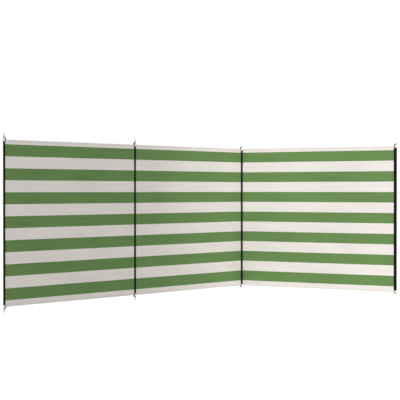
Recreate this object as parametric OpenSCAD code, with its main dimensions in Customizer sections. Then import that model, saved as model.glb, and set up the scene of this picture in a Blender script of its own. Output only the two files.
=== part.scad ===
// Beach windbreak: three striped cloth bays held between four planted poles.
// The corner pole stands at the origin, two bays run along -X and the third turns the corner.
// The sheltered side faces -Y on the long run.

/* [Layout] */
// Distance between neighbouring poles
bay_w = 1800; // [1000:10:2400]
// Angle between the long run and the short run at the corner pole
corner_angle = 90; // [70:1:150]
// Height of the cloth's bottom edge above the feet of the poles
cloth_lift = 47; // [42:0.5:90]

/* [Cloth] */
// Height of one stripe
stripe_h = 101.7; // [60:0.1:140]
// Number of green stripes
green_stripes = 7; // [3:1:9]
// Height of the pale band above the top green stripe
top_band_h = 38.5; // [30:0.5:80]
// Height of the pale band below the bottom green stripe
bottom_band_h = 53.5; // [30:0.5:80]
// Thickness of the cloth
cloth_t = 1; // [0.6:0.1:1.6]
// Height of the turned hem along the top and bottom edges
hem_h = 14; // [12:0.5:24]
// Thickness that the turned hem adds on each face
hem_ply_t = 0.7; // [0.4:0.1:1.2]

/* [Sleeves] */
// Thickness of the sleeve cloth
sleeve_t = 0.6; // [0.4:0.1:1.6]
// Gap between a pole and its sleeve
sleeve_gap = 0.2; // [0.1:0.1:1]
// Distance from the round of a sleeve to the seam that closes it
pinch_l = 2.2; // [1.6:0.1:7]
// Width of the seam flange beside an inner pole
inner_flange_w = 2; // [1.5:0.5:12]
// Width of the seam flange beside the left end pole
left_flange_w = 2.5; // [1.5:0.5:16]
// Width of the seam flange beside the right end pole
right_flange_w = 13; // [3:0.5:16]

/* [Poles] */
// Outer diameter of the steel tube
pole_d = 16; // [12:0.1:18]
// Wall of the steel tube
pole_wall = 0.8; // [0.5:0.1:1.5]
// Bare tube that shows above the top hem
top_stub_l = 14; // [10:0.5:40]
// Bare tube that shows below the bottom hem
bottom_stub_l = 8; // [4:0.5:12]

/* [Pole ends] */
// Diameter of the neck that holds an elastic loop
neck_d = 9; // [7:0.1:11.5]
// Height of the collar between the tube and the neck
collar_h = 3; // [2:0.5:6]
// Length of the plug inside the tube
plug_l = 25; // [15:1:60]
// Straight part of the top cap above its neck
cap_body_l = 28; // [15:0.5:50]
// Height of the rounded nose of the top cap
cap_nose_l = 8; // [4:0.5:12]
// Length of the taper of the ground spike
spike_taper_l = 16; // [6:0.5:18]
// Diameter of the flat tip of the ground spike
spike_tip_d = 8; // [4:0.5:11]

/* [Elastic loops] */
// Diameter of the elastic cord
cord_d = 5; // [3:0.1:5.5]
// Distance from a sleeve's seam to the cord sewn on the hem
tack_inset = 6; // [4.5:0.1:20]
// Depth of hem left free beyond the sewn end of the cord
tack_margin = 4; // [2:0.5:8]

/* [Hidden] */
// Clearance between the cord and what it passes
cord_gap = 0.3;
// Clearance of the plug inside the tube
plug_gap = 0.1;
// Chamfer on the edges of the pole ends
edge_c = 0.6;
// How far the cord rises before it bends to the neck, as a share of its whole rise
rise_share = 0.7;
// How far it leaves the neck before it bends to the hem, as a share of the tack's reach
lead_share = 0.75;
// Sides and rings of the swept cord
cord_sides = 8;
bend_rings = 8;
neck_rings = 12;
// How far the drawn-in cloth cuts inside the round of the pole, as a share of that radius
pinch_share = 0.96;
// Extra depth of cuts
overrun = 1;
$fn = 48;

cream = [0.91, 0.88, 0.84];
leaf_green = [0.41, 0.54, 0.31];
sleeve_black = [0.12, 0.11, 0.12];
bright_steel = [0.80, 0.81, 0.82];
pale_grey = [0.72, 0.74, 0.75];

pole_r = pole_d / 2;
cord_r = cord_d / 2;
neck_r = neck_d / 2;
neck_h = cord_d + 4 * cord_gap;
stripes = 2 * green_stripes - 1;
cloth_h = bottom_band_h + stripes * stripe_h + top_band_h;
cloth_top = cloth_lift + cloth_h;
hem_half_t = cloth_t / 2 + hem_ply_t;
flange_half_t = cloth_t / 2 + sleeve_t;
sleeve_bottom = cloth_lift + hem_h;
sleeve_top = cloth_top - hem_h;
sleeve_in_r = pole_r + sleeve_gap;
sleeve_out_r = sleeve_in_r + sleeve_t;
seam_reach = sleeve_out_r + pinch_l;
tack_reach = seam_reach + tack_inset;
tack_l = hem_h - tack_margin;
tube_bottom = cloth_lift - bottom_stub_l;
tube_top = cloth_top + top_stub_l;
neck_offset = collar_h + neck_h / 2;
spike_l = tube_bottom - collar_h - neck_h;

turn = 180 - corner_angle;
posts = ["left_end", "left_middle", "corner", "right_end"];
post_at = [[-2 * bay_w, 0], [-bay_w, 0], [0, 0], bay_w * [cos(turn), -sin(turn)]];
// Directions in which the cloth leaves each pole; the loop is sewn beside the first one
cloth_dirs = [[0], [180, 0], [180, -turn], [180 - turn]];
flange_ws = [left_flange_w, inner_flange_w, inner_flange_w, right_flange_w];
panels = ["left_panel", "middle_panel", "right_panel"];
panel_dirs = [0, 0, -turn];
pieces = ["pole", "sleeve", "top_cap", "ground_spike", "top_loop", "bottom_loop"];

module at_post(i) {
    translate([post_at[i].x, post_at[i].y, 0]) children();
}

// A strip of cloth along a bay, with its thickness centred on the line between the poles
module strip(z, h, half_t) {
    translate([seam_reach, -half_t, z]) cube([bay_w - 2 * seam_reach, 2 * half_t, h]);
}

module panel(i) {
    at_post(i) rotate(panel_dirs[i]) {
        color(cream) {
            strip(cloth_lift, hem_h, hem_half_t);
            strip(cloth_top - hem_h, hem_h, hem_half_t);
            strip(cloth_lift, bottom_band_h, cloth_t / 2);
            strip(cloth_top - top_band_h, top_band_h, cloth_t / 2);
        }
        for (k = [0:stripes - 1]) {
            color(k % 2 == 0 ? leaf_green : cream)
                strip(cloth_lift + bottom_band_h + k * stripe_h, stripe_h, cloth_t / 2);
        }
    }
}

// Outline of cloth drawn round a pole and pinched to a seam along each direction
module pocket_outline(dirs, r, tip) {
    touch = acos(r / tip);
    base = pinch_share * r * [cos(touch), sin(touch)];
    circle(r = r);
    for (d = dirs) {
        rotate(d) polygon([[0, 0], [base.x, -base.y], [tip, 0], base]);
    }
}

module sleeve(i) {
    dirs = cloth_dirs[i];
    flange_w = flange_ws[i];
    inner_tip = seam_reach * sleeve_in_r / sleeve_out_r;
    color(sleeve_black) at_post(i) translate([0, 0, sleeve_bottom])
        linear_extrude(sleeve_top - sleeve_bottom) difference() {
            union() {
                pocket_outline(dirs, sleeve_out_r, seam_reach);
                for (d = dirs) {
                    rotate(d) translate([inner_tip, -flange_half_t])
                        square([seam_reach + flange_w - inner_tip, 2 * flange_half_t]);
                }
            }
            pocket_outline(dirs, sleeve_in_r, inner_tip);
            for (d = dirs) {
                rotate(d) translate([seam_reach, -cloth_t / 2]) square([flange_w + overrun, cloth_t]);
            }
        }
}

module pole(i) {
    color(bright_steel) at_post(i) translate([0, 0, tube_bottom]) difference() {
        cylinder(r = pole_r, h = tube_top - tube_bottom);
        translate([0, 0, -overrun])
            cylinder(r = pole_r - pole_wall, h = tube_top - tube_bottom + 2 * overrun);
    }
}

// Plug, collar and neck that every pole end shares, as points from the axis outwards
function neck_profile() = [
    [0, -plug_l],
    [pole_r - pole_wall - plug_gap - edge_c, -plug_l],
    [pole_r - pole_wall - plug_gap, edge_c - plug_l],
    [pole_r - pole_wall - plug_gap, 0],
    [pole_r, 0],
    [pole_r, collar_h - edge_c],
    [pole_r - edge_c, collar_h],
    [neck_r, collar_h],
    [neck_r, collar_h + neck_h],
    [pole_r - edge_c, collar_h + neck_h],
    [pole_r, collar_h + neck_h + edge_c]
];

module top_cap(i) {
    nose_z = collar_h + neck_h + cap_body_l;
    nose = [for (a = [0:15:90]) [pole_r * cos(a), nose_z + cap_nose_l * sin(a)]];
    color(pale_grey) at_post(i) translate([0, 0, tube_top])
        rotate_extrude() polygon(concat(neck_profile(), nose));
}

module ground_spike(i) {
    tip_z = collar_h + neck_h + spike_l;
    taper = [[pole_r, tip_z - spike_taper_l], [spike_tip_d / 2, tip_z], [0, tip_z]];
    color(pale_grey) at_post(i) translate([0, 0, tube_bottom]) mirror([0, 0, 1])
        rotate_extrude() polygon(concat(neck_profile(), taper));
}

function bezier(p, t) = pow(1 - t, 3) * p[0] + 3 * t * pow(1 - t, 2) * p[1]
    + 3 * t * t * (1 - t) * p[2] + pow(t, 3) * p[3];

// One strand: up the hem, then over to the side of the neck, rising from the hem's edge at z = 0
function strand(rise) = let (
    side = hem_half_t + cord_r + cord_gap / 2,
    round_r = neck_r + cord_r + cord_gap,
    start = [tack_reach, side, 0],
    end = [0, round_r, rise],
    bend = [start, start + [0, 0, rise_share * rise], end + [lead_share * tack_reach, 0, 0], end]
) concat([start - [0, 0, tack_l]], [for (k = [0:bend_rings]) bezier(bend, k / bend_rings)]);

function flipped(path) = [for (k = [len(path) - 1:-1:0]) [path[k].x, -path[k].y, path[k].z]];

// The whole loop: one strand, round the back of the neck, and the other strand back to the hem
function loop_path(rise) = let (
    round_r = neck_r + cord_r + cord_gap,
    back = [for (k = [1:neck_rings - 1]) let (a = 90 + 180 * k / neck_rings)
        [round_r * cos(a), round_r * sin(a), rise]]
) concat(strand(rise), back, flipped(strand(rise)));

function unit(v) = v / norm(v);

// A ring of points round the path, squared to its direction and to the pole's axis
function cord_ring(path, k) = let (
    along = unit(path[min(k + 1, len(path) - 1)] - path[max(k - 1, 0)]),
    away = [path[k].x, path[k].y, 0],
    u = unit(away - (away * along) * along),
    v = cross(along, u)
) [for (s = [0:cord_sides - 1]) let (a = 360 * s / cord_sides)
    path[k] + cord_r * (cos(a) * u + sin(a) * v)];

module cord(path) {
    n = len(path);
    points = [for (k = [0:n - 1]) each cord_ring(path, k)];
    sides = [for (k = [0:n - 2], s = [0:cord_sides - 1])
        let (a = k * cord_sides + s, b = k * cord_sides + (s + 1) % cord_sides)
        [a, a + cord_sides, b + cord_sides, b]];
    ends = [[for (s = [0:cord_sides - 1]) s],
        [for (s = [cord_sides - 1:-1:0]) (n - 1) * cord_sides + s]];
    polyhedron(points, concat(sides, ends));
}

module top_loop(i) {
    rise = top_stub_l + neck_offset;
    color(sleeve_black) at_post(i) rotate(cloth_dirs[i][0]) translate([0, 0, cloth_top])
        cord(loop_path(rise));
}

module bottom_loop(i) {
    rise = bottom_stub_l + neck_offset;
    color(sleeve_black) at_post(i) rotate(cloth_dirs[i][0]) translate([0, 0, cloth_lift])
        mirror([0, 0, 1]) cord(loop_path(rise));
}

for (i = [0:len(panels) - 1]) {
    panel(i);
}
for (i = [0:len(posts) - 1]) {
    pole(i);
    sleeve(i);
    top_cap(i);
    ground_spike(i);
    top_loop(i);
    bottom_loop(i);
}
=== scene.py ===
import math

import bmesh
import bpy
from mathutils import Matrix, Vector, noise


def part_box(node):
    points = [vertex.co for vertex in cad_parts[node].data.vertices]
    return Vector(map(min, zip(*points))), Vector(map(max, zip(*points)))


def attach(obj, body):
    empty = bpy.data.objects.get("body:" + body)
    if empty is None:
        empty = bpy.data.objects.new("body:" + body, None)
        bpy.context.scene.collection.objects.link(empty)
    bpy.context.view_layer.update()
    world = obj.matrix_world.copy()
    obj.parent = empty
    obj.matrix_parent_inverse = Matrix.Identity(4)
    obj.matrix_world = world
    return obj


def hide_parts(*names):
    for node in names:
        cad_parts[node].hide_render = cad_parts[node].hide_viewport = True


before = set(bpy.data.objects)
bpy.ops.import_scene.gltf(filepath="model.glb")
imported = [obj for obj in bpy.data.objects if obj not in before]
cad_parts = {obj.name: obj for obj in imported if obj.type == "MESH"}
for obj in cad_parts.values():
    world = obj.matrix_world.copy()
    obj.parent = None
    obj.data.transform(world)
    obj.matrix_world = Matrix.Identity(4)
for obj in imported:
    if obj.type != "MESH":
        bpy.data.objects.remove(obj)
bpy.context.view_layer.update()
scene = bpy.context.scene
scene.view_settings.view_transform = "Standard"
upward = Vector((0, 0, 1))
hairsbreadth = 0.0001  # nearer than this counts as the same place
print("frame loaded:", len(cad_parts), "nodes")

# posts from left to right, and the bays between them
postNames = ["left_end", "left_middle", "corner", "right_end"]
bayNames = ["left_panel", "middle_panel", "right_panel"]


def postFoot(post):
    low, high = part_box(post + "_pole")
    return Vector(((low.x + high.x) / 2, (low.y + high.y) / 2, 0))


def pointing(heading):
    return Vector((math.cos(heading), math.sin(heading), 0))


def leftOf(heading):
    return pointing(heading + math.pi / 2)


# how far a node reaches from the foot of its post in one direction
def reachOf(node, foot, direction):
    low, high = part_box(node)
    corners = [Vector((x, y, 0)) - foot for x in (low.x, high.x) for y in (low.y, high.y)]
    return max(corner.dot(direction) for corner in corners)


def softStep(share):
    share = min(max(share, 0), 1)
    return share * share * (3 - 2 * share)


def readBay(number):
    start, end = postFoot(postNames[number]), postFoot(postNames[number + 1])
    low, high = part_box(bayNames[number])
    span = (end - start).length
    return {
        "name": bayNames[number],
        "posts": postNames[number:number + 2],
        "number": number,
        "start": start,
        "span": span,
        "heading": math.atan2(end.y - start.y, end.x - start.x),
        "seam": (span - max(high.x - low.x, high.y - low.y)) / 2,
        "low": low.z,
        "high": high.z,
    }


bays = [readBay(number) for number in range(len(bayNames))]


# headings in which cloth leaves a post: back along the bay before it, then on along the bay after it
def clothHeadings(number):
    back = [bays[number - 1]["heading"] + math.pi] if number > 0 else []
    on = [bays[number]["heading"]] if number < len(bays) else []
    return back + on


def addNode(tree, kind, inputs, **options):
    made = tree.nodes.new("ShaderNode" + kind)
    for option, value in options.items():
        setattr(made, option, value)
    for socket, value in inputs.items():
        if isinstance(value, bpy.types.NodeSocket):
            tree.links.new(value, made.inputs[socket])
        else:
            made.inputs[socket].default_value = value
    return made


def newFinish(name, settings):
    finish = bpy.data.materials.new(name)
    finish.use_nodes = True
    shader = finish.node_tree.nodes["Principled BSDF"]
    for socket, value in settings.items():
        shader.inputs[socket].default_value = value
    return finish, finish.node_tree, shader


def wireFinish(tree, shader, colour, dullness, relief=None):
    tree.links.new(colour, shader.inputs["Base Color"])
    tree.links.new(dullness, shader.inputs["Roughness"])
    if relief is not None:
        tree.links.new(relief, shader.inputs["Normal"])


def shade(colour, share):
    return [channel * share for channel in colour] + [1]


def maths(tree, operation, first, second=0.0):
    return addNode(tree, "Math", {0: first, 1: second}, operation=operation).outputs[0]


def weavePlace(tree):
    return addNode(tree, "UVMap", {}, uv_map="weave").outputs["UV"]


def objectPlace(tree):
    return addNode(tree, "TexCoord", {}).outputs["Object"]


def stretchPlace(tree, place, scale):
    return addNode(tree, "Mapping", {"Vector": place, "Scale": scale}).outputs[0]


def clouds(tree, place, scale, detail, roughness=0.5):
    settings = {"Vector": place, "Scale": scale, "Detail": detail, "Roughness": roughness}
    return addNode(tree, "TexNoise", settings).outputs[0]


# takes what lies between two limits to the range from 0 to 1
def spreadFrom(tree, value, limits):
    settings = {"Value": value, "From Min": limits[0], "From Max": limits[1]}
    return addNode(tree, "MapRange", settings).outputs[0]


# takes the range from 0 to 1 to what lies between two ends
def spreadTo(tree, value, ends):
    settings = {"Value": value, "To Min": ends[0], "To Max": ends[1]}
    return addNode(tree, "MapRange", settings).outputs[0]


# the mix node repeats its socket names, so they go by number
def mixColours(tree, share, dark, light):
    return addNode(tree, "Mix", {0: share, 6: dark, 7: light}, data_type="RGBA").outputs[2]


def embossed(tree, height, strength, distance):
    settings = {"Height": height, "Strength": strength, "Distance": distance}
    return addNode(tree, "Bump", settings).outputs[0]


# plain weave: warp and weft pass over each other like a chessboard, thick yarns show as level streaks;
# the yarn ridges also darken the colour in the hollows between yarns, a painted shade
wovenCloth = {
    # colour, and how far it strays to darker and lighter
    "cream cloth": ((0.636, 0.594, 0.568), 0.085),
    "green cloth": ((0.109, 0.198, 0.0665), 0.16),
    # the hems' cream is darkened as a painted shade, for the light that passes less through the doubled
    # cloth from behind
    "cream hem painted shade": ((0.605, 0.565, 0.535), 0.075),
    "black sleeve cloth": ((0.0095, 0.0085, 0.0105), 0.16),
    "clothLook": {"Sheen Weight": 0.03, "Sheen Roughness": 0.5, "Specular IOR Level": 0.06},
    "sleeveLook": {"Sheen Weight": 0.005, "Sheen Roughness": 0.5, "Specular IOR Level": 0.02},
    "dullness": (0.95, 0.78),
    # the pattern, in metres and in waves a metre
    "yarn": 0.0008,
    "yarnHollowShadeShare": 0.12,
    "yarnRelief": 0.00016,
    "reliefStrength": 0.5,
    "streaks": (1.6, 68, 1),
    "streakDetail": 5.0,
    "streakRoughness": 0.62,
    "streakShare": 0.62,
    "mottle": (2.2, 3.1, 1),
    "mottleDetail": 2.0,
    "mottleShare": 0.26,
    "toneLimits": (0.3, 0.7),
}


def yarnRidges(tree, along):
    turn = maths(tree, "MULTIPLY", along, math.pi / wovenCloth["yarn"])
    return maths(tree, "ABSOLUTE", maths(tree, "SINE", turn))


def wovenFinish(name, look):
    colour, contrast = wovenCloth[name]
    finish, tree, shader = newFinish(name, wovenCloth[look])
    place = weavePlace(tree)
    across = addNode(tree, "SeparateXYZ", {"Vector": place}).outputs
    warp, weft = yarnRidges(tree, across["X"]), yarnRidges(tree, across["Y"])
    over = addNode(tree, "TexChecker", {"Vector": place, "Scale": 1 / wovenCloth["yarn"]}).outputs["Fac"]
    yarns = addNode(tree, "Mix", {0: over, 2: warp, 3: weft}).outputs[0]
    drawn = stretchPlace(tree, place, wovenCloth["streaks"])
    streak = clouds(tree, drawn, 1.0, wovenCloth["streakDetail"], wovenCloth["streakRoughness"])
    wide = stretchPlace(tree, place, wovenCloth["mottle"])
    mottle = clouds(tree, wide, 1.0, wovenCloth["mottleDetail"])
    tone = maths(tree, "MULTIPLY", streak, wovenCloth["streakShare"])
    tone = maths(tree, "ADD", tone, maths(tree, "MULTIPLY", mottle, wovenCloth["mottleShare"]))
    # the yarn ridges that emboss the cloth also darken its colour in the hollows between yarns: painted
    # shade
    tone = maths(tree, "ADD", tone, maths(tree, "MULTIPLY", yarns, wovenCloth["yarnHollowShadeShare"]))
    tone = spreadFrom(tree, tone, wovenCloth["toneLimits"])
    mixed = mixColours(tree, tone, shade(colour, 1 - contrast), shade(colour, 1 + contrast))
    dull = spreadTo(tree, streak, wovenCloth["dullness"])
    relief = embossed(tree, yarns, wovenCloth["reliefStrength"], wovenCloth["yarnRelief"])
    wireFinish(tree, shader, mixed, dull, relief)
    return finish


creamCloth = wovenFinish("cream cloth", "clothLook")
greenCloth = wovenFinish("green cloth", "clothLook")
# the hems' darker cream is painted shade
paintedShadeHem = wovenFinish("cream hem painted shade", "clothLook")
blackCloth = wovenFinish("black sleeve cloth", "sleeveLook")

# twisted sewing thread, its ply drawn as slanting bands of painted shade and highlight
sewingThread = {
    "cream thread": (0.64, 0.60, 0.57),
    "black thread": (0.014, 0.013, 0.015),
    "plyScale": 900.0,
    "plyWander": 1.5,
    "plyShadeAndHighlight": (0.8, 1.1),
    "dullness": (0.75, 0.5),
    "look": {"Specular IOR Level": 0.3},
}


def threadFinish(name):
    finish, tree, shader = newFinish(name, sewingThread["look"])
    bands = {
        "Vector": objectPlace(tree),
        "Scale": sewingThread["plyScale"],
        "Distortion": sewingThread["plyWander"],
    }
    ply = addNode(tree, "TexWave", bands, bands_direction="DIAGONAL").outputs["Fac"]
    # darker and lighter copies of the thread colour: painted shade in the grooves between plies, painted
    # highlight on their crests
    dark, light = [shade(sewingThread[name], share) for share in sewingThread["plyShadeAndHighlight"]]
    mixed = mixColours(tree, ply, dark, light)
    wireFinish(tree, shader, mixed, spreadTo(tree, ply, sewingThread["dullness"]))
    return finish


creamThread = threadFinish("cream thread")
blackThread = threadFinish("black thread")

# bright zinc on drawn steel tube: long fine scratches and a few dull patches
zincTube = {
    "dark": (0.68, 0.69, 0.7, 1),
    "light": (0.8, 0.805, 0.81, 1),
    "scratches": (2600, 2600, 30),
    "scratchDetail": 3.0,
    "scratchRelief": 0.0001,
    "reliefStrength": 0.12,
    "patchScale": 160.0,
    "patchDetail": 3.0,
    "patchLimits": (0.35, 0.7),
    "dullness": (0.32, 0.52),
    "look": {"Metallic": 1.0},
}


def zincFinish():
    finish, tree, shader = newFinish("zinc plated steel", zincTube["look"])
    place = objectPlace(tree)
    drawn = stretchPlace(tree, place, zincTube["scratches"])
    scratch = clouds(tree, drawn, 1.0, zincTube["scratchDetail"])
    patch = clouds(tree, place, zincTube["patchScale"], zincTube["patchDetail"])
    bright = spreadFrom(tree, patch, zincTube["patchLimits"])
    mixed = mixColours(tree, bright, zincTube["dark"], zincTube["light"])
    relief = embossed(tree, scratch, zincTube["reliefStrength"], zincTube["scratchRelief"])
    wireFinish(tree, shader, mixed, spreadTo(tree, scratch, zincTube["dullness"]), relief)
    return finish


# moulded plastic: an even fine grain, a little cloudy, with duller patches
mouldedPlastic = {
    "dark": (0.66, 0.665, 0.665, 1),
    "light": (0.75, 0.75, 0.745, 1),
    "grainScale": 2200.0,
    "grainDetail": 2.0,
    "grainRelief": 0.0001,
    "reliefStrength": 0.15,
    "cloudScale": 190.0,
    "cloudDetail": 4.0,
    "dullness": (0.36, 0.6),
    "look": {"Specular IOR Level": 0.45},
}


def mouldedFinish():
    finish, tree, shader = newFinish("off-white moulding", mouldedPlastic["look"])
    place = objectPlace(tree)
    grain = clouds(tree, place, mouldedPlastic["grainScale"], mouldedPlastic["grainDetail"])
    cloud = clouds(tree, place, mouldedPlastic["cloudScale"], mouldedPlastic["cloudDetail"])
    mixed = mixColours(tree, cloud, mouldedPlastic["dark"], mouldedPlastic["light"])
    relief = embossed(tree, grain, mouldedPlastic["reliefStrength"], mouldedPlastic["grainRelief"])
    wireFinish(tree, shader, mixed, spreadTo(tree, cloud, mouldedPlastic["dullness"]), relief)
    return finish


# braided elastic: crossing strands round the cord, read from its own map of turns and length
elasticBraid = {
    "dark": (0.008, 0.008, 0.009, 1),
    "light": (0.022, 0.021, 0.024, 1),
    "crossingShare": 0.5,
    "fuzzShare": 0.5,
    "fuzzScale": 7.0,
    "fuzzDetail": 3.0,
    "dullness": (0.9, 0.65),
    "look": {"Specular IOR Level": 0.04, "Sheen Weight": 0.01},
}


def braidFinish():
    finish, tree, shader = newFinish("black elastic braid", elasticBraid["look"])
    place = weavePlace(tree)
    crossing = addNode(tree, "TexChecker", {"Vector": place, "Scale": 1.0}).outputs["Fac"]
    fuzz = clouds(tree, place, elasticBraid["fuzzScale"], elasticBraid["fuzzDetail"])
    tone = maths(tree, "MULTIPLY", crossing, elasticBraid["crossingShare"])
    tone = maths(tree, "ADD", tone, maths(tree, "MULTIPLY", fuzz, elasticBraid["fuzzShare"]))
    mixed = mixColours(tree, tone, elasticBraid["dark"], elasticBraid["light"])
    wireFinish(tree, shader, mixed, spreadTo(tree, fuzz, elasticBraid["dullness"]))
    return finish


zincSteel = zincFinish()
paleMoulding = mouldedFinish()
blackBraid = braidFinish()
print("finishes made")


# an edge that turns by more than the crease, in radians, stays sharp
def makePiece(name, bm, finishes, nodes=(), crease=0.7):
    for face in bm.faces:
        face.smooth = True
    for edge in bm.edges:
        edge.smooth = edge.calc_face_angle(0) < crease
    mesh = bpy.data.meshes.new(name)
    bm.to_mesh(mesh)
    bm.free()
    for finish in finishes:
        mesh.materials.append(finish)
    piece = bpy.data.objects.new(name, mesh)
    scene.collection.objects.link(piece)
    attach(piece, "root")
    if nodes:
        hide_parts(*nodes)
    return piece


def thicken(piece, thickness):
    wall = piece.modifiers.new("cloth thickness", "SOLIDIFY")
    wall.thickness = thickness
    wall.offset = 0


def partsOf(geometry, kind):
    return [part for part in geometry if isinstance(part, kind)]


# draws geometry straight on by a move, in some steps
def drawOn(bm, geometry, move, steps):
    step = Vector(move) / steps
    made = bmesh.ops.spin(bm, geom=geometry, axis=upward, dvec=step, angle=0, steps=steps)
    return made["geom_last"]


# rolls geometry on round an axis
def rollOn(bm, geometry, centre, axis, angle, steps):
    made = bmesh.ops.spin(bm, geom=geometry, cent=centre, axis=axis, angle=angle, steps=steps)
    return made["geom_last"]


def closeEnds(bm):
    bmesh.ops.holes_fill(bm, edges=[edge for edge in bm.edges if edge.is_boundary])
    bmesh.ops.recalc_face_normals(bm, faces=bm.faces[:])


def mapWeave(bm, acrossOf):
    layer = bm.loops.layers.uv.new("weave")
    for face in bm.faces:
        for loop in face.loops:
            loop[layer].uv = (acrossOf(loop.vert), loop.vert.co.z)


# one stretched bay of striped cloth; its top and bottom edges are turned to the back twice and sewn
clothPanel = {
    "columns": 160,
    "rowHeight": 0.0114,
    "leastRows": 2,
    "greenStripes": 7,
    "topBand": 0.0385,
    "bottomBand": 0.0535,
    "thickness": 0.0004,
    "flange": 0.013,
    # hems
    "hemHeight": 0.014,
    "hemRows": 2,
    "layerGap": 0.00045,
    "foldSteps": 6,
    "stitchInset": 0.0022,
    # slow waves and ripples between the seams
    "slack": 0.0016,
    "slowScale": (1.15, 1.3),
    "rippleScale": (5, 2.2),
    "rippleShare": 0.3,
    "freeWidth": 0.12,
    "bayShift": 7.3,
    # puckers along the sewing, and how far they reach into the cloth
    "hemPucker": 0.00035,
    "hemPuckerPitch": 0.043,
    "hemPuckerReach": 0.03,
    "seamPucker": 0.0005,
    "seamPuckerPitch": 0.055,
    "seamPuckerReach": 0.05,
    "seamPuckerStart": 0.015,
    "puckerWander": 3,
    "wanderScale": 3,
    # folds that fan out from the pulled corners
    "cornerDrag": 0.0012,
    "dragReach": 0.2,
    "dragFolds": 11,
}
stripeCount = 2 * clothPanel["greenStripes"] - 1
clothFinishes = [creamCloth, greenCloth, paintedShadeHem]


def slowWave(along, height, shift):
    slowAlong, slowUp = clothPanel["slowScale"]
    rippleAlong, rippleUp = clothPanel["rippleScale"]
    slow = noise.noise((along * slowAlong + shift, height * slowUp, shift))
    ripple = noise.noise((along * rippleAlong, height * rippleUp, shift))
    return slow + clothPanel["rippleShare"] * ripple


def puckerWave(along, pitch, sample):
    return math.sin(math.tau * along / pitch + clothPanel["puckerWander"] * noise.noise(sample))


# how far taut cloth stands off the line between its poles
def clothBow(bay, along, height):
    side = min(along, bay["span"] - along) - bay["seam"]
    edge = min(height - bay["low"], bay["high"] - height)
    shift = clothPanel["bayShift"] * bay["number"]
    clear = side - clothPanel["flange"]
    wander = clothPanel["wanderScale"]
    hemWave = puckerWave(along, clothPanel["hemPuckerPitch"], (along * wander, shift, 0))
    hemWave *= math.exp(-edge / clothPanel["hemPuckerReach"])
    seamWave = puckerWave(height, clothPanel["seamPuckerPitch"], (shift, height * wander, side))
    seamWave *= math.exp(-side / clothPanel["seamPuckerReach"])
    seamWave *= softStep(clear / clothPanel["seamPuckerStart"])
    drag = math.sin(clothPanel["dragFolds"] * math.atan2(edge, max(side, hairsbreadth)))
    drag *= math.exp(-math.hypot(side, edge) / clothPanel["dragReach"])
    waves = clothPanel["slack"] * slowWave(along, height, shift)
    waves += clothPanel["hemPucker"] * hemWave + clothPanel["cornerDrag"] * drag
    return softStep(clear / clothPanel["freeWidth"]) * waves + clothPanel["seamPucker"] * seamWave


def stripeHeight(bay):
    striped = bay["high"] - bay["low"] - clothPanel["topBand"] - clothPanel["bottomBand"]
    return striped / stripeCount


def clothColour(bay, height):
    # the hems take the darker cream, a painted shade
    if min(height - bay["low"], bay["high"] - height) < clothPanel["hemHeight"]:
        return paintedShadeHem
    stripe = math.floor((height - bay["low"] - clothPanel["bottomBand"]) / stripeHeight(bay))
    return greenCloth if 0 <= stripe < stripeCount and stripe % 2 == 0 else creamCloth


# heights where the colour changes or a hem's turn ends
def clothLevels(bay):
    first = bay["low"] + clothPanel["bottomBand"]
    edges = [first + stripe * stripeHeight(bay) for stripe in range(stripeCount + 1)]
    return [bay["low"] + clothPanel["hemHeight"]] + edges + [bay["high"] - clothPanel["hemHeight"]]


def layInBay(bm, bay):
    along, across = pointing(bay["heading"]), leftOf(bay["heading"])
    for vert in bm.verts:
        out = vert.co.y + clothBow(bay, vert.co.x, vert.co.z)
        vert.co = bay["start"] + along * vert.co.x + across * out + upward * vert.co.z


def drawPanel(bay):
    bm = bmesh.new()
    gap, hem, rows = clothPanel["layerGap"], clothPanel["hemHeight"], clothPanel["hemRows"]
    bend, level, steps = gap / 2, Vector((1, 0, 0)), clothPanel["foldSteps"]
    first = bm.verts.new((bay["seam"], gap, bay["low"] + 2 * gap))
    drawOn(bm, [first], (bay["span"] - 2 * bay["seam"], 0, 0), clothPanel["columns"])
    sheet = bm.verts[:] + bm.edges[:]
    # bottom hem: the raw edge lies inside, the turn goes up the back, down again and round to the face
    sheet = drawOn(bm, sheet, (0, 0, hem - bend - 2 * gap), rows)
    sheet = rollOn(bm, sheet, (0, gap + bend, bay["low"] + hem - bend), level, -math.pi, steps)
    sheet = drawOn(bm, sheet, (0, 0, gap + bend - hem), rows)
    sheet = rollOn(bm, sheet, (0, gap, bay["low"] + gap), level, -math.pi, steps)
    height = bay["low"] + gap
    for stop in clothLevels(bay) + [bay["high"] - gap]:
        rise = stop - height
        climb = max(clothPanel["leastRows"], round(rise / clothPanel["rowHeight"]))
        sheet = drawOn(bm, sheet, (0, 0, rise), climb)
        height = stop
    # top hem, the same way round
    sheet = rollOn(bm, sheet, (0, gap, height), level, -math.pi, steps)
    sheet = drawOn(bm, sheet, (0, 0, gap + bend - hem), rows)
    sheet = rollOn(bm, sheet, (0, gap + bend, bay["high"] - hem + bend), level, -math.pi, steps)
    drawOn(bm, sheet, (0, 0, hem - bend - 2 * gap), rows)
    for face in bm.faces:
        face.material_index = clothFinishes.index(clothColour(bay, face.calc_center_median().z))
    mapWeave(bm, lambda vert: vert.co.x)
    layInBay(bm, bay)
    piece = makePiece(bay["name"] + "_cloth", bm, clothFinishes, [bay["name"]])
    thicken(piece, clothPanel["thickness"])
    return piece


# a row of machine stitches: one grain of thread, copied to a run, and the run copied along its row
stitching = {
    "pitch": 0.0042,
    "length": 0.0033,
    "width": 0.0006,
    "height": 0.0005,
    "slant": 0.1,
    "run": 10,
    "sides": 5,
    "rings": 4,
}


def copyAlong(bm, step, copies):
    everything = bm.verts[:] + bm.edges[:] + bm.faces[:]
    bmesh.ops.spin(
        bm, geom=everything, axis=upward, dvec=step, angle=0, steps=copies, use_duplicate=True
    )


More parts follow.
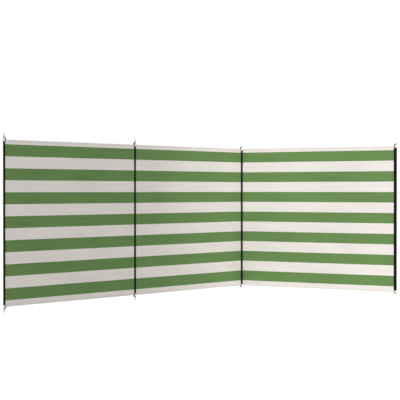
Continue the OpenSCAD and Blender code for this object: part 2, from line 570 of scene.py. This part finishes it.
def sewRow(rows, start, move, faceSide):
    along = Vector(move).normalized()
    out = Vector(faceSide).normalized()
    runs = round(Vector(move).length / stitching["pitch"] / stitching["run"])
    pitch = Vector(move) / (runs * stitching["run"])
    slant = Matrix.Rotation(stitching["slant"], 3, out)
    axes = Matrix((along, out.cross(along), out)).transposed()
    size = Matrix.Diagonal([stitching[side] / 2 for side in ("length", "width", "height")])
    place = Matrix.Translation(Vector(start) + pitch / 2) @ (slant @ axes @ size).to_4x4()
    bm = bmesh.new()
    bmesh.ops.create_uvsphere(
        bm, u_segments=stitching["sides"], v_segments=stitching["rings"], radius=1, matrix=place
    )
    copyAlong(bm, pitch, stitching["run"] - 1)
    copyAlong(bm, pitch * stitching["run"], runs - 1)
    row = bpy.data.meshes.new("row of stitches")
    bm.to_mesh(row)
    bm.free()
    rows.from_mesh(row)
    bpy.data.meshes.remove(row)


def sewPanel(bay):
    bm = bmesh.new()
    sewn = clothPanel["hemHeight"] - clothPanel["stitchInset"]
    front = -clothPanel["thickness"] / 2
    back = 2 * clothPanel["layerGap"] + clothPanel["thickness"] / 2
    for height in (bay["low"] + sewn, bay["high"] - sewn):
        for out, side in ((front, -1), (back, 1)):
            start = (bay["seam"], out, height)
            sewRow(bm, start, (bay["span"] - 2 * bay["seam"], 0, 0), (0, side, 0))
    layInBay(bm, bay)
    return makePiece(bay["name"] + "_thread", bm, [creamThread])


for bay in bays:
    cloth = drawPanel(bay)
    thread = sewPanel(bay)
print("panels and hems sewn")


# a black pocket round each pole, drawn in to a seam on each side where it holds the edge of a bay
poleSleeve = {
    "thickness": 0.0005,
    "slackGap": 0.0002,
    "plyOffset": 0.00055,
    "arcStep": 0.2,
    "leastArcSteps": 2,
    "flatSteps": 3,
    "ringHeight": 0.0125,
    "turnHeight": 0.009,
    "turnRows": 2,
    "rumple": 0.0001,
    "rumpleScale": (90, 90, 14),
    "seamEase": 0.003,
    "endEase": 0.03,
    "stitchInset": 0.0012,
    "wideFlange": 0.006,
}


def sleeveRadius(post):
    low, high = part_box(post + "_pole")
    return (high.x - low.x) / 2 + poleSleeve["slackGap"] + poleSleeve["thickness"] / 2


def flangeTip(number):
    post = postNames[number]
    return reachOf(post + "_sleeve", postFoot(post), pointing(clothHeadings(number)[0]))


# the outline of one strip of sleeve cloth: in along one seam, round the pole and out along the next seam
def drawWrap(bm, foot, radius, seam, tip, leave, arrive):
    ply, steps = poleSleeve["plyOffset"], poleSleeve["flatSteps"]
    touch = math.atan2(ply, seam) + math.acos(radius / math.hypot(seam, ply))
    point = bm.verts.new(foot + pointing(leave) * tip + leftOf(leave) * ply)
    inward = [
        foot + pointing(leave) * seam + leftOf(leave) * ply,
        foot + pointing(leave + touch) * radius,
    ]
    outward = [
        foot + pointing(arrive) * seam - leftOf(arrive) * ply,
        foot + pointing(arrive) * tip - leftOf(arrive) * ply,
    ]
    for corner in inward:
        point = drawOn(bm, [point], corner - point.co, steps)[0]
    turn = arrive - leave - 2 * touch
    arcSteps = max(poleSleeve["leastArcSteps"], round(turn / poleSleeve["arcStep"]))
    point = rollOn(bm, [point], foot, upward, turn, arcSteps)[0]
    for corner in outward:
        point = drawOn(bm, [point], corner - point.co, steps)[0]


def sleeveStrips(number):
    headings = clothHeadings(number)
    strips = []
    for place, leave in enumerate(headings):
        arrive = headings[(place + 1) % len(headings)]
        while arrive <= leave + hairsbreadth:
            arrive += math.tau
        strips.append((leave, arrive))
    return strips


def faceOutwards(bm, foot):
    bm.normal_update()
    inward = [face for face in bm.faces if face.normal.dot(face.calc_center_median() - foot) < 0]
    if len(inward) > len(bm.faces) / 2:
        bmesh.ops.reverse_faces(bm, faces=bm.faces[:])


# slack cloth rumples a little between the seams and the ends
def rumple(bm, foot, seam, low, high):
    scale = Vector(poleSleeve["rumpleScale"])
    for vert in bm.verts:
        out = Vector((vert.co.x - foot.x, vert.co.y - foot.y, 0))
        free = softStep((seam - out.length) / poleSleeve["seamEase"])
        free *= softStep(min(vert.co.z - low, high - vert.co.z) / poleSleeve["endEase"])
        swell = abs(noise.noise(vert.co * scale))
        vert.co += out.normalized() * free * swell * poleSleeve["rumple"]


def placeKey(vert):
    return tuple(round(part, 6) for part in vert.co)


# turns the cloth at one end of a sleeve outwards and lays it back along the sleeve
def turnEnd(bm, end, sense):
    bm.normal_update()
    loose = [edge for edge in bm.edges if edge.is_boundary]
    rim = [edge for edge in loose if all(abs(vert.co.z - end) < hairsbreadth for vert in edge.verts)]
    sides = {placeKey(vert): vert.normal.copy() for edge in rim for vert in edge.verts}
    turned = bmesh.ops.extrude_edge_only(bm, edges=rim)["geom"]
    for vert in partsOf(turned, bmesh.types.BMVert):
        side = sides[placeKey(vert)]
        side.z = 0
        vert.co += side.normalized() * poleSleeve["thickness"]
    turned = partsOf(turned, (bmesh.types.BMVert, bmesh.types.BMEdge))
    drawOn(bm, turned, (0, 0, sense * poleSleeve["turnHeight"]), poleSleeve["turnRows"])


def drawSleeve(number):
    post = postNames[number]
    foot, radius = postFoot(post), sleeveRadius(post)
    low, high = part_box(post + "_sleeve")
    seam, tip = bays[0]["seam"], flangeTip(number)
    bm = bmesh.new()
    for leave, arrive in sleeveStrips(number):
        drawWrap(bm, foot + upward * low.z, radius, seam, tip, leave, arrive)
    outline = sum(edge.calc_length() for edge in bm.edges)
    rings = round((high.z - low.z) / poleSleeve["ringHeight"])
    drawOn(bm, bm.verts[:] + bm.edges[:], (0, 0, high.z - low.z), rings)
    faceOutwards(bm, foot)
    rumple(bm, foot, seam, low.z, high.z)
    turnEnd(bm, high.z, -1)
    turnEnd(bm, low.z, 1)
    mapWeave(bm, lambda vert: math.atan2(vert.co.y - foot.y, vert.co.x - foot.x) * radius)
    piece = makePiece(post + "_sleeve_cloth", bm, [blackCloth], [post + "_sleeve"])
    thicken(piece, poleSleeve["thickness"])
    return piece, outline, high.z - low.z + 2 * poleSleeve["turnHeight"]


def sewSleeve(number):
    post = postNames[number]
    foot = postFoot(post)
    low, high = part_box(post + "_sleeve")
    seam = bays[0]["seam"]
    width, inset = flangeTip(number) - seam, poleSleeve["stitchInset"]
    rows = (inset, width - inset) if width > poleSleeve["wideFlange"] else (width / 2,)
    face = poleSleeve["plyOffset"] + poleSleeve["thickness"] / 2
    margin = poleSleeve["turnHeight"]
    bm = bmesh.new()
    for heading in clothHeadings(number):
        for row in rows:
            for side in (-1, 1):
                out = leftOf(heading) * side
                start = foot + pointing(heading) * (seam + row) + out * face + upward * (low.z + margin)
                sewRow(bm, start, (0, 0, high.z - low.z - 2 * margin), out)
    return makePiece(post + "_sleeve_thread", bm, [blackThread])


for number, post in enumerate(postNames):
    cloth, outline, length = drawSleeve(number)
    thread = sewSleeve(number)
print("sleeves sewn")


# elastic loop: up one face of the hem, over to the neck, round behind it and back down the other face
elasticLoop = {
    "cordRadius": 0.0025,
    "sides": 16,
    "ring": 0.0009,
    "bendSteps": 24,
    "riseShare": 0.7,
    "leadShare": 0.75,
    "strands": 4,
    "braidPitch": 0.0056,
    "braidRelief": 0.00017,
    "braidLevel": 0.6,
}


def loopLevel(post, end):
    low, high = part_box(f"{post}_{end}_loop")
    return high.z - elasticLoop["cordRadius"] if end == "top" else low.z + elasticLoop["cordRadius"]


def curvePoint(corners, share):
    rest = 1 - share
    weights = (rest ** 3, 3 * share * rest ** 2, 3 * share ** 2 * rest, share ** 3)
    return sum((corner * weight for corner, weight in zip(corners, weights)), Vector())


def spaceEvenly(points, step):
    lengths = [0.0]
    for before, after in zip(points, points[1:]):
        lengths.append(lengths[-1] + (after - before).length)
    count = round(lengths[-1] / step)
    spaced, at = [], 0
    for number in range(count + 1):
        length = lengths[-1] * number / count
        while at < len(points) - 2 and lengths[at + 1] < length:
            at += 1
        share = (length - lengths[at]) / (lengths[at + 1] - lengths[at])
        spaced.append(points[at].lerp(points[at + 1], share))
    return spaced


# in the loop's own axes: x along the cloth, y to its left, z from the hem's edge out to the neck
def loopSizes(number, end):
    post = postNames[number]
    node = f"{post}_{end}_loop"
    heading = clothHeadings(number)[0]
    foot, cord = postFoot(post), elasticLoop["cordRadius"]
    low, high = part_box(node)
    bay = bays[max(number - 1, 0)]
    hemEdge = bay["high"] if end == "top" else bay["low"]
    tackEnd = low.z if end == "top" else high.z
    front = clothPanel["thickness"] / 2 + cord
    back = front + 2 * clothPanel["layerGap"]
    return {
        "heading": heading,
        "foot": foot + upward * hemEdge,
        "sense": 1 if end == "top" else -1,
        "reach": reachOf(node, foot, pointing(heading)) - cord,
        "round": reachOf(node, foot, leftOf(heading)) - cord,
        "rise": abs(loopLevel(post, end) - hemEdge),
        "tack": abs(hemEdge - tackEnd),
        "left": back if number == 0 else front,
        "right": front if number == 0 else back,
    }


def loopStrand(size, side):
    start = Vector((size["reach"], side, 0))
    end = Vector((0, size["round"], size["rise"]))
    rise = start + upward * elasticLoop["riseShare"] * size["rise"]
    lead = end + Vector((elasticLoop["leadShare"] * size["reach"], 0, 0))
    steps = elasticLoop["bendSteps"]
    bend = [curvePoint((start, rise, lead, end), number / steps) for number in range(steps + 1)]
    return [start - upward * size["tack"]] + bend


def loopPath(size):
    steps = elasticLoop["bendSteps"]
    turns = [math.pi / 2 + math.pi * number / steps for number in range(1, steps)]
    behind = [pointing(turn) * size["round"] + upward * size["rise"] for turn in turns]
    other = [Vector((point.x, -point.y, point.z)) for point in loopStrand(size, size["right"])]
    return loopStrand(size, size["left"]) + behind + other[::-1]


def fromLoop(size, point):
    out = pointing(size["heading"]) * point.x + leftOf(size["heading"]) * point.y
    return size["foot"] + out + upward * point.z * size["sense"]


# a ring's own axes along a path, kept square to the pole
def ringPlace(path, number, foot):
    ahead = (path[min(number + 1, len(path) - 1)] - path[max(number - 1, 0)]).normalized()
    away = path[number] - foot
    away.z = 0
    away = (away - ahead * away.dot(ahead)).normalized()
    axes = Matrix((away, ahead.cross(away), ahead)).transposed().to_4x4()
    return Matrix.Translation(path[number]) @ axes


# strands stand out where they cross the cord's face in either direction
def braidRidge(turn, length):
    turn *= elasticLoop["strands"] * math.tau
    lay = math.tau * length / elasticLoop["braidPitch"]
    ridge = max(math.sin(turn + lay), math.sin(turn - lay)) - elasticLoop["braidLevel"]
    return ridge * elasticLoop["braidRelief"]


def drawLoop(number, end):
    node = f"{postNames[number]}_{end}_loop"
    size = loopSizes(number, end)
    path = spaceEvenly([fromLoop(size, point) for point in loopPath(size)], elasticLoop["ring"])
    places = [ringPlace(path, at, size["foot"]) for at in range(len(path))]
    bm = bmesh.new()
    turnLayer = bm.verts.layers.float.new("turn")
    lengthLayer = bm.verts.layers.float.new("length")
    sides, radius = elasticLoop["sides"], elasticLoop["cordRadius"]
    ring = bmesh.ops.create_circle(bm, segments=sides, radius=radius, matrix=places[0])["verts"]
    for side, vert in enumerate(ring):
        vert[turnLayer] = side / sides
    edges = bm.edges[:]
    rings = [ring]
    for at in range(1, len(places)):
        made = bmesh.ops.extrude_edge_only(bm, edges=edges)["geom"]
        ring = partsOf(made, bmesh.types.BMVert)
        drawn = partsOf(made, bmesh.types.BMEdge)
        edges = [edge for edge in drawn if all(vert in ring for vert in edge.verts)]
        bmesh.ops.transform(bm, matrix=places[at] @ places[at - 1].inverted(), verts=ring)
        for vert in ring:
            vert[lengthLayer] = at * elasticLoop["ring"]
        rings.append(ring)
    for middle, ring in zip(path, rings):
        for vert in ring:
            ridge = braidRidge(vert[turnLayer], vert[lengthLayer])
            vert.co += (vert.co - middle).normalized() * ridge
    closeEnds(bm)
    layer = bm.loops.layers.uv.new("weave")
    for face in bm.faces:
        for loop in face.loops:
            turn, length = loop.vert[turnLayer], loop.vert[lengthLayer]
            loop[layer].uv = (2 * elasticLoop["strands"] * turn, 2 * length / elasticLoop["braidPitch"])
    return makePiece(node + "_cord", bm, [blackBraid], [node])


# bar tack: close turns of thread over each sewn end of a loop
barTack = {"turns": 7, "pitch": 0.0011, "thread": 0.0003, "sides": 5, "steps": 8}


# one turn of thread, half round the cord from one side of it to the other
def tackTurn(bm, middle, across, out):
    start = middle + across * (elasticLoop["cordRadius"] + barTack["thread"] / 2)
    axes = Matrix((across, upward.cross(across), upward)).transposed()
    tilt = Matrix.Rotation(math.pi / 2, 3, across)
    place = Matrix.Translation(start) @ (tilt @ axes).to_4x4()
    sides, radius = barTack["sides"], barTack["thread"]
    ring = bmesh.ops.create_circle(bm, segments=sides, radius=radius, matrix=place)["verts"]
    edges = list({edge for vert in ring for edge in vert.link_edges})
    bow = math.pi * (1 if across.cross(out).z > 0 else -1)
    rollOn(bm, ring + edges, middle, upward, bow, barTack["steps"])


def sewTacks(number):
    bm = bmesh.new()
    for end in ("top", "bottom"):
        size = loopSizes(number, end)
        across, left = pointing(size["heading"]), leftOf(size["heading"])
        for sense, side in ((1, size["left"]), (-1, size["right"])):
            for turn in range(barTack["turns"]):
                depth = -(turn + 1) * barTack["pitch"]
                middle = fromLoop(size, Vector((size["reach"], sense * side, depth)))
                tackTurn(bm, middle, across, left * sense)
    closeEnds(bm)
    return makePiece(postNames[number] + "_loop_tacks", bm, [blackThread])


# moulded ends of the poles, turned from an outline: plug, collar, neck for the loop, nose or spike
poleEnd = {
    "neckRadius": 0.0045,
    "collar": 0.003,
    "plugGap": 0.0009,
    "tipRadius": 0.004,
    "taperInRadii": 2,
    "steps": 36,
    "noseSteps": 8,
    "weld": 0.00001,
    "round": 0.0006,
    "roundSegments": 3,
    "sharpAngle": 0.6,
}


def turnOutline(foot, outline, noseTurn):
    bm = bmesh.new()
    last = bm.verts.new(foot + Vector((outline[0][0], 0, outline[0][1])))
    for radius, height in outline[1:]:
        move = foot + Vector((radius, 0, height)) - last.co
        last = drawOn(bm, [last], move, 1)[0]
    if noseTurn:
        centre = Vector((foot.x, foot.y, last.co.z))
        rollOn(bm, [last], centre, (0, -1, 0), noseTurn, poleEnd["noseSteps"])
    profile = bm.verts[:] + bm.edges[:]
    bmesh.ops.spin(
        bm, geom=profile, cent=foot, axis=upward, angle=math.tau, steps=poleEnd["steps"], use_merge=True
    )
    bmesh.ops.remove_doubles(bm, verts=bm.verts[:], dist=poleEnd["weld"])
    bmesh.ops.recalc_face_normals(bm, faces=bm.faces[:])
    edges = [edge for edge in bm.edges if edge.calc_face_angle(0) > poleEnd["sharpAngle"]]
    bmesh.ops.bevel(
        bm, geom=edges, offset=poleEnd["round"], segments=poleEnd["roundSegments"], profile=0.5,
        affect="EDGES", material=-1
    )
    return bm


def drawCap(post):
    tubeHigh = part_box(post + "_pole")[1]
    low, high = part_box(post + "_top_cap")
    radius = (high.x - low.x) / 2
    collarTop = tubeHigh.z + poleEnd["collar"]
    neckTop = 2 * loopLevel(post, "top") - collarTop
    neck, plug = poleEnd["neckRadius"], radius - poleEnd["plugGap"]
    outline = [(0, low.z), (plug, low.z), (plug, tubeHigh.z), (radius, tubeHigh.z), (radius, collarTop)]
    outline += [(neck, collarTop), (neck, neckTop), (radius, neckTop), (radius, high.z - radius)]
    bm = turnOutline(postFoot(post), outline, math.pi / 2)
    return makePiece(post + "_top_cap_moulding", bm, [paleMoulding], [post + "_top_cap"])


def drawSpike(post):
    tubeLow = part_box(post + "_pole")[0]
    low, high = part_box(post + "_ground_spike")
    radius = (high.x - low.x) / 2
    collarLow = tubeLow.z - poleEnd["collar"]
    neckLow = 2 * loopLevel(post, "bottom") - collarLow
    taperTop = low.z + poleEnd["taperInRadii"] * radius
    neck, plug, tip = poleEnd["neckRadius"], radius - poleEnd["plugGap"], poleEnd["tipRadius"]
    outline = [(0, high.z), (plug, high.z), (plug, tubeLow.z), (radius, tubeLow.z), (radius, collarLow)]
    outline += [(neck, collarLow), (neck, neckLow), (radius, neckLow), (radius, taperTop)]
    outline += [(tip, low.z), (0, low.z)]
    bm = turnOutline(postFoot(post), outline, 0)
    node = post + "_ground_spike"
    return makePiece(node + "_moulding", bm, [paleMoulding], [node])


for number, post in enumerate(postNames):
    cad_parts[post + "_pole"].data.materials.clear()
    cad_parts[post + "_pole"].data.materials.append(zincSteel)
    drawCap(post)
    drawSpike(post)
    for end in ("top", "bottom"):
        drawLoop(number, end)
    sewTacks(number)
print("pole ends and loops made")


# pale floor, white surroundings, a light straight overhead and two lamps beside the camera
studio = {
    "floorSize": 120,
    "floorCells": 8,
    "floorDrop": 0.0005,
    "floorColour": (0.9, 0.9, 0.89, 1),
    "floorLook": {"Roughness": 0.9, "Specular IOR Level": 0.1},
    "white": (1, 1, 1, 1),
    "fillStrength": 0.6,
    "overhead": {"place": (-1.8, -0.9, 6), "target": (-1.8, -0.9, 0), "spread": 3, "strength": 2.3},
    "lampPlace": (-12.9, -11, 6),
    "lampRadius": 0.5,
    "key": {"target": (0, -4.7, 2), "cone": 36, "blend": 0.4, "power": 7100},
    "corner lift": {"target": (0, -0.1, 1.15), "cone": 6, "blend": 1.0, "power": 2600},
}
photoView = {
    "place": (-13.1, -8.7835, 1.0323),
    "heading": -54.591,
    "pitch": -0.364,
    "lens": 136.767,
    "sensor": 36,
    "clipEnd": 500,
}


def layFloor():
    bm = bmesh.new()
    cells, drop = studio["floorCells"], Matrix.Translation((0, 0, -studio["floorDrop"]))
    bmesh.ops.create_grid(
        bm, x_segments=cells, y_segments=cells, size=studio["floorSize"] / 2, matrix=drop
    )
    mesh = bpy.data.meshes.new("floor")
    bm.to_mesh(mesh)
    bm.free()
    finish, tree, shader = newFinish("pale floor", studio["floorLook"])
    shader.inputs["Base Color"].default_value = studio["floorColour"]
    mesh.materials.append(finish)
    floor = bpy.data.objects.new("floor", mesh)
    scene.collection.objects.link(floor)


def lightSurroundings():
    world = bpy.data.worlds.new("studio")
    scene.world = world
    world.use_nodes = True
    tree = world.node_tree
    fill = tree.nodes["Background"]
    fill.inputs["Color"].default_value = studio["white"]
    fill.inputs["Strength"].default_value = studio["fillStrength"]
    backdrop = addNode(tree, "Background", {"Color": studio["white"], "Strength": 1.0})
    seen = addNode(tree, "LightPath", {}).outputs["Is Camera Ray"]
    mixed = addNode(tree, "MixShader", {0: seen, 1: fill.outputs[0], 2: backdrop.outputs[0]})
    tree.links.new(mixed.outputs[0], tree.nodes["World Output"].inputs["Surface"])


def aimed(thing, place, target):
    thing.location = place
    thing.rotation_euler = (Vector(target) - Vector(place)).to_track_quat("-Z", "Y").to_euler()
    scene.collection.objects.link(thing)


def hangOverhead(name):
    lamp = bpy.data.lights.new(name, "SUN")
    lamp.angle = math.radians(studio[name]["spread"])
    lamp.energy = studio[name]["strength"]
    aimed(bpy.data.objects.new(name, lamp), studio[name]["place"], studio[name]["target"])


def hangSpot(name):
    lamp = bpy.data.lights.new(name, "SPOT")
    lamp.spot_size = math.radians(studio[name]["cone"])
    lamp.spot_blend = studio[name]["blend"]
    lamp.shadow_soft_size = studio["lampRadius"]
    lamp.energy = studio[name]["power"]
    aimed(bpy.data.objects.new(name, lamp), studio["lampPlace"], studio[name]["target"])


def setCamera():
    view = bpy.data.cameras.new("photo view")
    view.lens = photoView["lens"]
    view.sensor_width = photoView["sensor"]
    view.clip_end = photoView["clipEnd"]
    camera = bpy.data.objects.new("photo view", view)
    camera.location = photoView["place"]
    tilt, turn = math.radians(90 + photoView["pitch"]), math.radians(photoView["heading"])
    camera.rotation_euler = (tilt, 0, turn)
    scene.collection.objects.link(camera)
    scene.camera = camera


layFloor()
lightSurroundings()
hangOverhead("overhead")
hangSpot("key")
hangSpot("corner lift")
setCamera()
print("studio set")
